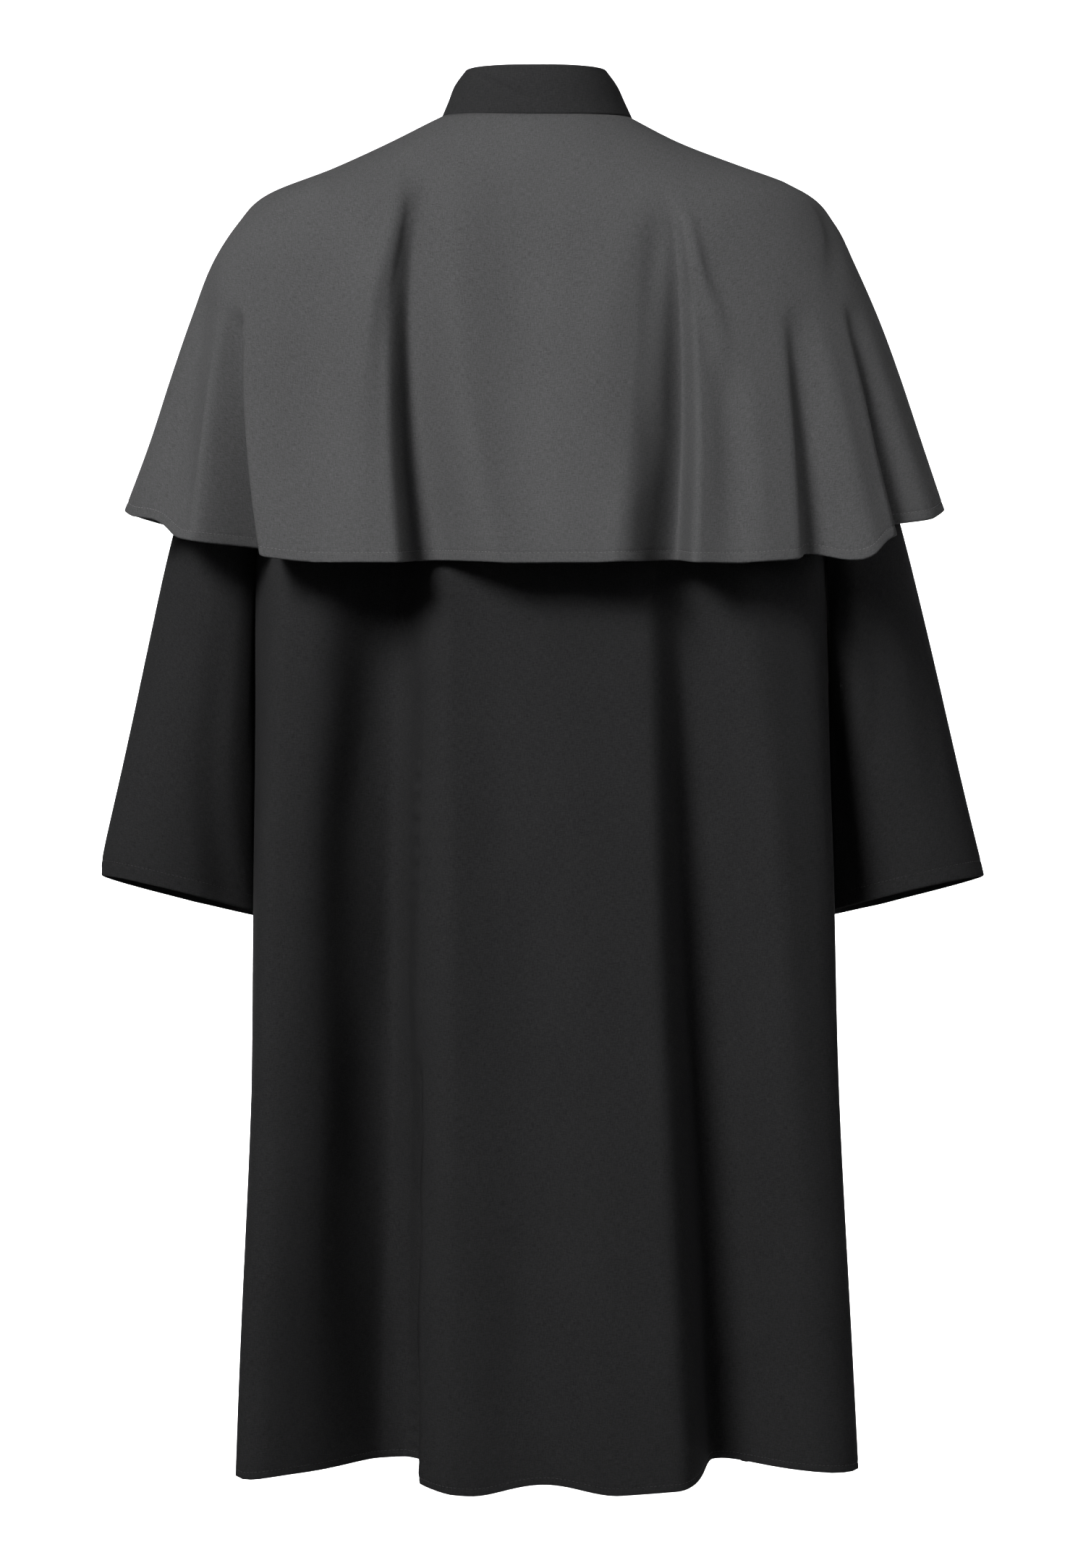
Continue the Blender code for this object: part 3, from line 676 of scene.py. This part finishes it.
def clothShell(name, points, wall, material, closed=False, hem=None):
    # the outer face, an inner face a wall away, and rounded edges between them
    normal = gridNormals(points, closed)
    inward = np.full(points.shape[:2], wall)
    if hem:
        up = distanceFromHem(points)
        groove = np.exp(-((up - hem["stitch"]) / clothFace["groove"]) ** 2)
        roll = np.clip(1 - up / clothFace["edgeRoll"], 0, 1) ** 2
        points = points - (groove * hem["sink"])[..., None] * normal
        points = points - (roll * clothFace["edgeDepth"])[..., None] * normal
        turnUp = np.clip((hem["width"] - up) / clothFace["turnUpStep"], 0, 1)
        inward = inward + turnUp * hem["extra"]
    outer = points.reshape(-1, 3)
    inner = (points - inward[..., None] * normal).reshape(-1, 3)
    half = len(outer)
    index = np.arange(half).reshape(points.shape[:2])
    beside = np.roll(index, -1, 1)
    quads = np.stack([index[:-1], beside[:-1], beside[1:], index[1:]], axis=-1)
    if not closed:
        quads = quads[:, :-1]
    quads = quads.reshape(-1, 4)
    vertices = [outer, inner]
    faces = [quads, quads[:, ::-1] + half]
    count = 2 * half
    for run, further in edgeRuns(index, closed):
        # one more line of points rounds the edge, a little beyond it
        away = unit(outer[run] - outer[further])
        reach = np.linalg.norm(outer[run] - inner[run], axis=-1, keepdims=True)
        vertices.append((outer[run] + inner[run]) / 2 + away * reach * clothFace["rounding"])
        rounding = np.arange(count, count + len(run))
        count += len(run)
        runNext, roundingNext = np.roll(run, -1), np.roll(rounding, -1)
        faces.append(np.stack([runNext, run, rounding, roundingNext], axis=-1))
        faces.append(np.stack([roundingNext, rounding, run + half, runNext + half], axis=-1))

    mesh = bpy.data.meshes.new(name)
    mesh.from_pydata(np.concatenate(vertices).tolist(), [], np.concatenate(faces).tolist())
    addClothLayout(mesh, points, index, closed)
    mesh.shade_smooth()
    mesh.materials.append(material)
    piece = newObject(name, mesh)
    print(name, len(mesh.polygons) * 2, "triangles")
    return piece

def addClothLayout(mesh, points, index, closed):
    # a UV map in metres of cloth: across the piece from its middle column, and down it
    rows, columns = index.shape
    acrossSteps = np.linalg.norm(np.diff(points, axis=1), axis=-1)
    across = np.concatenate([np.zeros((rows, 1)), np.cumsum(acrossSteps, axis=1)], axis=1)
    across -= across[:, columns // 2][:, None]
    downSteps = np.linalg.norm(np.diff(points, axis=0), axis=-1).mean(axis=1)
    down = np.concatenate([[0], np.cumsum(downSteps)])
    layout = np.stack([across, np.repeat(down[:, None], columns, 1)], axis=-1).reshape(-1, 2)
    edge = np.concatenate([run for run, further in edgeRuns(index, closed)])
    perVertex = np.concatenate([layout, layout, layout[edge]])
    loops = np.zeros(len(mesh.loops), int)
    mesh.loops.foreach_get("vertex_index", loops)
    uv = mesh.uv_layers.new(name="cloth")
    uv.data.foreach_set("uv", perVertex[loops].ravel())


# Finishes

clothLooks = {
    "gown": dict(colour=(0.0236, 0.0236, 0.0242), speck=0.40, cloud=0.10, roughness=0.90,
                 gloss=0.01, sheen=0.002, bump=0.16, thread=0.00065),
    "collar": dict(colour=(0.0290, 0.0290, 0.0297), speck=0.34, cloud=0.08, roughness=0.90,
                   gloss=0.01, sheen=0.002, bump=0.16, thread=0.00065),
    "cape": dict(colour=(0.0800, 0.0800, 0.0812), speck=0.36, cloud=0.08, roughness=0.86,
                 gloss=0.02, sheen=0.006, bump=0.18, thread=0.00065),
}
weave = dict(
    stretch=0.12,             # how much slower the pattern changes along a thread
    nap=0.5,                  # the nap is this much coarser than the threads
    cloud=(14.0, 9.0),        # the slow unevenness, across and down
    threadShare=0.35,
    napShare=0.3,
    speckGain=4.8,
    cloudGain=2.0,
    roughnessSwing=0.2,
    sheenRoughness=0.5,
    bumpDistance=0.0004,
)
threadLooks = {
    "gown thread": (0.030, 0.030, 0.031),
    "cape thread": (0.140, 0.140, 0.142),
}
threadFinish = dict(plyScale=2400.0, roughness=0.5, swing=0.2)

def clothMaterial(name, looks):
    material, nodes, shader = newMaterial(name)
    layout = nodes.add("ShaderNodeUVMap", {"uv_map": "cloth"}).outputs[0]
    fine = 1 / looks["thread"]

    def threads(acrossScale, downScale, detail=2.0):
        scaled = nodes.add("ShaderNodeVectorMath", {"operation": "MULTIPLY"}, {
            0: layout, 1: (acrossScale, downScale, 1.0)}).outputs[0]
        noise = nodes.add("ShaderNodeTexNoise", {"noise_dimensions": "2D"}, {
            "Vector": scaled, "Scale": 1.0, "Detail": detail, "Roughness": 0.6})
        return nodes.number(noise.outputs[0])

    warp = threads(fine, fine * weave["stretch"])
    weft = threads(fine * weave["stretch"], fine)
    nap = threads(fine * weave["nap"], fine * weave["nap"], 3.0)
    cloud = threads(*weave["cloud"], 3.0)
    woven = (warp + weft) * weave["threadShare"] + nap * weave["napShare"]
    specks = (woven - 0.5) * (weave["speckGain"] * looks["speck"])
    clouds = (cloud - 0.5) * (weave["cloudGain"] * looks["cloud"])
    nodes.put(shader["Base Color"], nodes.scaled(looks["colour"], 1 + specks + clouds))
    nodes.put(shader["Roughness"], looks["roughness"] + (woven - 0.5) * weave["roughnessSwing"])
    bump = nodes.add("ShaderNodeBump", values={
        "Strength": looks["bump"], "Distance": weave["bumpDistance"], "Height": woven}).outputs[0]
    nodes.put(shader["Normal"], bump)
    shader["Specular IOR Level"].default_value = looks["gloss"]
    shader["Sheen Weight"].default_value = looks["sheen"]
    shader["Sheen Roughness"].default_value = weave["sheenRoughness"]
    return material

def threadMaterial(name, colour):
    material, nodes, shader = newMaterial(name)
    place = nodes.add("ShaderNodeTexCoord").outputs["Object"]
    noise = nodes.add("ShaderNodeTexNoise", values={
        "Vector": place, "Scale": threadFinish["plyScale"], "Detail": 1.0})
    ply = nodes.number(noise.outputs[0])
    nodes.put(shader["Base Color"], nodes.scaled(colour, ply + 0.5))
    nodes.put(shader["Roughness"], threadFinish["roughness"] + ply * threadFinish["swing"])
    return material


# Stitches: runs of short thread dashes set along a line on the cloth

stitching = {
    "hem_stitches_cape": dict(Pitch=0.0034, Length=0.0024, Thickness=0.00042, Unevenness=0.12, Seed=3),
    "hem_stitches_gown": dict(Pitch=0.0034, Length=0.0024, Thickness=0.00040, Unevenness=0.12, Seed=5),
    "cuff_stitches": dict(Pitch=0.0034, Length=0.0024, Thickness=0.00040, Unevenness=0.12, Seed=8),
}
stitchLift = 0.0001           # from the floor of the groove to the middle of the thread
stitchInputs = {
    "Line": "Geometry", "Pitch": "Float", "Length": "Float", "Thickness": "Float",
    "Unevenness": "Float", "Seed": "Int", "Thread": "Material",
}

def buildStitchTree():
    tree = bpy.data.node_groups.new("run of stitches", "GeometryNodeTree")
    sockets = {}
    for name, kind in stitchInputs.items():
        socket = tree.interface.new_socket(name, in_out="INPUT", socket_type="NodeSocket" + kind)
        sockets[name] = socket.identifier
    tree.interface.new_socket("Stitches", in_out="OUTPUT", socket_type="NodeSocketGeometry")
    nodes = nodeTree(tree)
    given = nodes.add("NodeGroupInput").outputs
    curve = nodes.add("GeometryNodeMeshToCurve", values={"Mesh": given["Line"]}).outputs[0]
    spots = nodes.add("GeometryNodeCurveToPoints", {"mode": "LENGTH"}, {
        "Curve": curve, "Length": given["Pitch"]})
    ball = nodes.add("GeometryNodeMeshUVSphere", values={
        "Segments": 6, "Rings": 4, "Radius": 0.5}).outputs[0]
    size = nodes.add("ShaderNodeCombineXYZ", values={
        "X": given["Thickness"], "Y": given["Thickness"], "Z": given["Length"]}).outputs[0]
    dash = nodes.add("GeometryNodeTransform", values={"Geometry": ball, "Scale": size}).outputs[0]
    least = 1 - nodes.number(given["Unevenness"])
    most = 1 + nodes.number(given["Unevenness"])
    vary = nodes.add("FunctionNodeRandomValue", {"data_type": "FLOAT"}, {
        2: least, 3: most, "Seed": given["Seed"]})
    placed = nodes.add("GeometryNodeInstanceOnPoints", values={
        "Points": spots.outputs["Points"], "Instance": dash,
        "Rotation": spots.outputs["Rotation"], "Scale": vary.outputs[1]}).outputs[0]
    real = nodes.add("GeometryNodeRealizeInstances", values={"Geometry": placed}).outputs[0]
    dressed = nodes.add("GeometryNodeSetMaterial", values={
        "Geometry": real, "Material": given["Thread"]}).outputs[0]
    nodes.add("NodeGroupOutput", values={"Stitches": dressed})
    return tree, sockets

def stitchRun(name, lines, material):
    # lines are runs of points on the cloth; a closed one ends where it starts
    vertices, edges = [], []
    for line in lines:
        first = len(vertices)
        vertices += line.tolist()
        edges += [(first + at, first + at + 1) for at in range(len(line) - 1)]
    mesh = bpy.data.meshes.new(name + "_line")
    mesh.from_pydata(vertices, edges, [])
    guide = newObject(name + "_line", mesh)
    modifier = guide.modifiers.new("stitches", "NODES")
    modifier.node_group = stitchTree
    for label, value in {**stitching[name], "Thread": material}.items():
        modifier[stitchSockets[label]] = value
    evaluated = guide.evaluated_get(bpy.context.evaluated_depsgraph_get())
    plain = bpy.data.meshes.new_from_object(evaluated)
    plain.name = name
    plain.shade_smooth()
    bpy.data.objects.remove(guide)
    piece = newObject(name, plain)
    print(name, len(plain.polygons), "faces")
    return piece

def lineAboveHem(points, hem, closed=False):
    # the line along a piece's stitch groove
    height, lift = hem["stitch"], stitchLift - hem["sink"]
    up = distanceFromHem(points)
    normal = gridNormals(points, closed)
    line = []
    for column in range(points.shape[1]):
        row = np.searchsorted(-up[:, column], -height)
        share = (up[row - 1, column] - height) / (up[row - 1, column] - up[row, column])
        here = points[row - 1, column] * (1 - share) + points[row, column] * share
        line.append(here + normal[row, column] * lift)
    line = np.array(line)
    return np.concatenate([line, line[:1]]) if closed else line


# The pieces

seams = dict(
    gap=0.0005,               # between two panels at a side seam
    frontLap=0.020,           # how far each front runs past the centre
    lapStep=0.0036,           # how far the right front lies inside the left one there
    lapSlope=0.030,           # the width over which the right front steps in
    collarOpening=0.003,
    capeOpeningNeck=0.004,
    capeOpeningHem=0.036,
)
armhole = dict(
    half=21.0,                # degrees of the body's ring that it takes on each side
    rows=36,
    gap=0.0006,               # from a panel's edge to the sleeve's end, along X
    sleeveClearance=0.0020,   # from the sleeve to the side of the body
)
columnCounts = dict(back=230, front=90, cape=330, collar=200, sleeve=120)
# How many rows lie between one ring and the next
rowCounts = dict(
    yoke=(4, 4, 4),
    skirt=(16, 32, 42, 64),
    cape=(6, 6, 8, 10, 12, 14, 16, 18, 36),
    collar=(8, 8, 8),
    sleeve=(3, 4, 6, 10, 14, 20, 26, 22, 18),
)
# Each hem: how wide it is turned up, how high its stitches run, how far they draw the cloth
# in, and how much thicker the cloth is there
hems = {
    "gown": dict(width=0.0125, stitch=0.0055, sink=0.00035, extra=0.0008),
    "cape": dict(width=0.0105, stitch=0.0078, sink=0.00040, extra=0.0008),
    "cuff": dict(width=0.0150, stitch=0.0125, sink=0.00035, extra=0.0008),
}

def armholeHalf(station):
    # how far the armhole's edge lies from the side of the body, as an angle
    along = np.clip((station - shoulderPoint) / (underarm - shoulderPoint), 0, 1)
    return math.radians(armhole["half"]) * np.sqrt(np.clip(1 - (1 - 2 * along) ** 2, 0, 1))

def armholeStation(turn):
    # the ring number on the armhole's edge, at a turn from its top
    return shoulderPoint + (underarm - shoulderPoint) * (1 - np.cos(turn)) / 2

def gownStations():
    yoke = stationRuns(rowCounts["yoke"])[:-1]
    besideArmhole = armholeStation(np.linspace(0, math.pi, armhole["rows"] + 1))
    skirt = stationRuns(rowCounts["skirt"], first=underarm)
    return np.concatenate([yoke, besideArmhole, closerAtTheHem(skirt, len(gownRings) - 1)[1:]])

def buildBack():
    station = gownStations()
    seam = seams["gap"] / 2 / ringColumn(gownRings, station, "left")[:, 0]
    edge = (math.pi / 2 - seam - armholeHalf(station))[:, None]
    turned = alongFolds(columnCounts["back"], gownFolds, -90, 90, gownRings, station)
    bearing = spread(turned, -90, 90, -edge, edge)
    return creased(wornCloth(gownRings, gownFolds, station, bearing), gownBack, 1)

def buildFront(side):
    station = gownStations()
    halfWidth = ringColumn(gownRings, station, "left" if side > 0 else "right")[:, 0]
    depth = -ringColumn(gownRings, station, "frontY")[:, 0]
    seamEdge = math.pi / 2 + seams["gap"] / 2 / halfWidth + armholeHalf(station)
    centreEdge = math.pi + seams["frontLap"] / depth
    low, high = (90, 180) if side > 0 else (-180, -90)
    turned = side * alongFolds(columnCounts["front"], gownFolds, low, high, gownRings, station)
    bearing = spread(turned, 90, 180, seamEdge[:, None], centreEdge[:, None])
    points = wornCloth(gownRings, gownFolds, station, side * bearing)
    if side < 0:
        toCentre = (math.pi - bearing) * depth[:, None] - seams["frontLap"]
        stepIn = 0.5 + 0.5 * np.cos(math.pi * np.clip(toCentre / seams["lapSlope"], 0, 1))
        points[:, :, 1] += seams["lapStep"] * stepIn
    return creased(points, gownFront, -1)

def buildCape():
    station = closerAtTheHem(stationRuns(rowCounts["cape"]), len(capeRings) - 1)
    depth = -ringColumn(capeRings, station, "frontY")[:, 0]
    along = station / station[-1]
    opening = seams["capeOpeningNeck"] + (seams["capeOpeningHem"] - seams["capeOpeningNeck"]) * along
    edge = (math.pi - opening / 2 / depth)[:, None]
    turned = alongFolds(columnCounts["cape"], capeFolds, -180, 180, capeRings, station)
    bearing = spread(turned, -180, 180, -edge, edge)
    points = wornCloth(capeRings, capeFolds, station, bearing)
    return creased(creased(points, capeBack, 1), capeFront, -1)

def buildCollar():
    station = stationRuns(rowCounts["collar"])
    depth = -ringColumn(collarRings, station, "frontY")[:, 0]
    edge = (math.pi - seams["collarOpening"] / 2 / depth)[:, None]
    bearing = edge - 2 * edge * np.linspace(0, 1, columnCounts["collar"] + 1)
    return creased(wornCloth(collarRings, (), station, bearing), collarBack, 1)

# A sleeve ring reaches from its outer end, on the left and right sleeve, to its inner end
# at the body, with half its depth from front to back and the turn of its inner end forward.
sleeveRing = namedtuple("sleeveRing", "name leftX rightX outZ inX inZ midY halfDepth turn")

sleeveRings = [sleeveRing(*row) for row in (
    # name           leftX  rightX     outZ     inX      inZ    midY halfDepth  turn
    ("head",        0.2255, 0.2220, -0.0680, 0.2400, -0.2865,  0.012,   0.0730,  0.0),
    ("cap",         0.2400, 0.2365, -0.0860, 0.2430, -0.2910,  0.008,   0.0720,  2.0),
    ("upper arm",   0.2545, 0.2500, -0.1200, 0.2460, -0.3010,  0.003,   0.0690,  5.0),
    ("arm",         0.2700, 0.2650, -0.1800, 0.2430, -0.3260, -0.001,   0.0685,  8.0),
    ("above elbow", 0.2890, 0.2830, -0.2550, 0.2400, -0.3720, -0.006,   0.0700, 12.0),
    ("elbow",       0.3195, 0.3135, -0.3650, 0.2370, -0.4480, -0.012,   0.0710, 15.0),
    ("forearm",     0.3515, 0.3490, -0.5060, 0.2350, -0.5600, -0.024,   0.0660, 18.0),
    ("hem seam",    0.3785, 0.3775, -0.6150, 0.2330, -0.6600, -0.033,   0.0620, 20.0),
    ("cuff",        0.3818, 0.3842, -0.6420, 0.2320, -0.6800, -0.035,   0.0615, 20.0),
)]

def armholeEdge(side, turn):
    # the panels' armhole edge, from the shoulder point round the back
    station = armholeStation(turn)
    bearing = side * (math.pi / 2 - math.radians(armhole["half"]) * np.sin(turn))
    points = [wornCloth(gownRings, gownFolds, np.array([level]), np.array([[angle]]))[0, 0]
              for level, angle in zip(station, bearing)]
    return np.array(points) + np.array([side * armhole["gap"], 0, 0])

def bodySide(y, z, side):
    # how far the body reaches sideways at this depth and height
    column = "left" if side > 0 else "right"
    heights = [-each.sideZ for each in gownRings]
    reach, middle, back, front, square = (
        np.interp(-z, heights, [getattr(each, name) for each in gownRings])
        for name in (column, "sideY", "backY", "frontY", "square"))
    halfDepth = np.where(y > middle, back - middle, middle - front)
    return reach * (1 - np.clip(np.abs(y - middle) / halfDepth, 0, 1) ** square) ** (1 / square)

def buildSleeve(side):
    # its first ring is the armhole, and it hangs just clear of the body
    turn = np.arange(columnCounts["sleeve"]) * 2 * math.pi / columnCounts["sleeve"]
    rings = [armholeEdge(side, turn)]
    for each in sleeveRings:
        out = np.array([each.leftX if side > 0 else each.rightX, each.midY, each.outZ])
        inner = np.array([each.inX, each.midY, each.inZ])
        middle, across = (out + inner) / 2, (out - inner) / 2
        twist = math.radians(each.turn)
        forward = np.array([0, np.linalg.norm(across), 0])
        depth = np.array([-math.sin(twist), math.cos(twist), 0]) * each.halfDepth
        across = across * [math.cos(twist), 1, 1] + forward * math.sin(twist)
        points = middle + np.cos(turn)[:, None] * across + np.sin(turn)[:, None] * depth
        least = bodySide(points[:, 1], points[:, 2], side) + armhole["sleeveClearance"]
        points[:, 0] = side * np.maximum(points[:, 0], least)
        rings.append(points)
    station = closerAtTheHem(stationRuns(rowCounts["sleeve"]), len(sleeveRings))
    points = smoothBetween(np.array(rings), station)
    if side > 0:
        points = points[:, ::-1]
    return creased(creased(points, sleeveBack, 1, True), sleeveFront, -1, True)


buildCamera()
buildLamps()
buildStage()
print("camera, floor and light")

gownCloth = clothMaterial("gown cloth", clothLooks["gown"])
collarCloth = clothMaterial("collar cloth", clothLooks["collar"])
capeCloth = clothMaterial("cape cloth", clothLooks["cape"])
gownThread = threadMaterial("gown thread", threadLooks["gown thread"])
capeThread = threadMaterial("cape thread", threadLooks["cape thread"])
print("finishes")

faces = {
    "back": buildBack(),
    "front_left": buildFront(1),
    "front_right": buildFront(-1),
    "sleeve_left": buildSleeve(1),
    "sleeve_right": buildSleeve(-1),
    "cape": buildCape(),
}
for seed, name in enumerate(faces):
    faces[name] = wandered(faces[name], name.startswith("sleeve"), seed)
cloth = {}
for name, face in faces.items():
    closed = name.startswith("sleeve")
    if name == "cape":
        material, hem = capeCloth, hems["cape"]
    else:
        material, hem = gownCloth, hems["cuff" if closed else "gown"]
    cloth[name] = clothShell("cloth_" + name, face, clothFace["wall"], material, closed, hem)
cloth["collar"] = clothShell("cloth_collar", buildCollar(), clothFace["collarWall"], collarCloth)
print("cloth")

stitchTree, stitchSockets = buildStitchTree()
capeStitches = stitchRun("hem_stitches_cape", [lineAboveHem(faces["cape"], hems["cape"])], capeThread)
gownStitches = stitchRun("hem_stitches_gown", [
    lineAboveHem(faces[name], hems["gown"]) for name in ("back", "front_left", "front_right")
], gownThread)
cuffStitches = stitchRun("cuff_stitches", [
    lineAboveHem(faces[name], hems["cuff"], closed=True) for name in ("sleeve_left", "sleeve_right")
], gownThread)
print("stitches")

# Each piece hangs from the root, and each cloth piece hides the CAD part of its name
for node, piece in cloth.items():
    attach(piece, "root")
    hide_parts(node)
for piece, slot in ((capeStitches, "cape_cloth"), (gownStitches, "gown_cloth"), (cuffStitches, "gown_cloth")):
    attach(piece, "root")

bpy.context.scene.view_settings.view_transform = "Standard"
